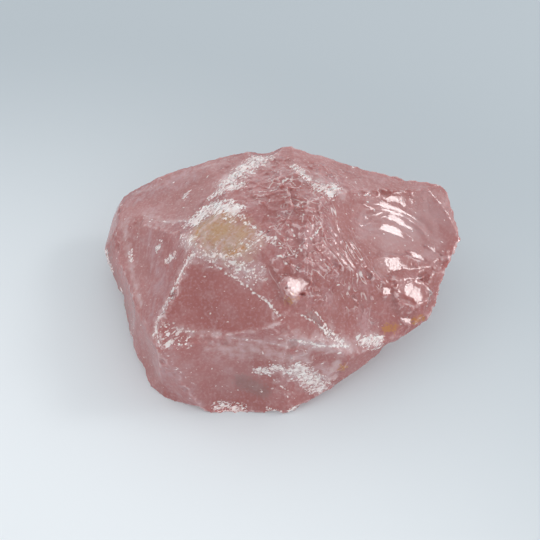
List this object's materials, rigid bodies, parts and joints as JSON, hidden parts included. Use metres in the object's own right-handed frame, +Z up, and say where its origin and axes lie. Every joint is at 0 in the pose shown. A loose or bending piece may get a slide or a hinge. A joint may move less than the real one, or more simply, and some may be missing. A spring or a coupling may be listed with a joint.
{
  "type": "rose quartz chunk",
  "caption": "Rough, hand-sized chunk of milky pink quartz with shell-shaped breaks, a thin overhanging end and a flat break to rest on.",
  "frame": {"origin": "middle of the box round the stone, on the ground", "axes": "+Z up, +X along the stone's length towards its thin overhanging end, -Y out of its steep front"},
  "size_m": [0.1132, 0.0768, 0.042],
  "materials": {
    "rose_quartz": "milky pink quartz: glassy on the shell breaks, frosted along edges and cracks, with white veils and a few ochre stains"
  },
  "bodies": {
    "root": {"rose_quartz_chunk": "rose_quartz"}
  },
  "joints": []
}
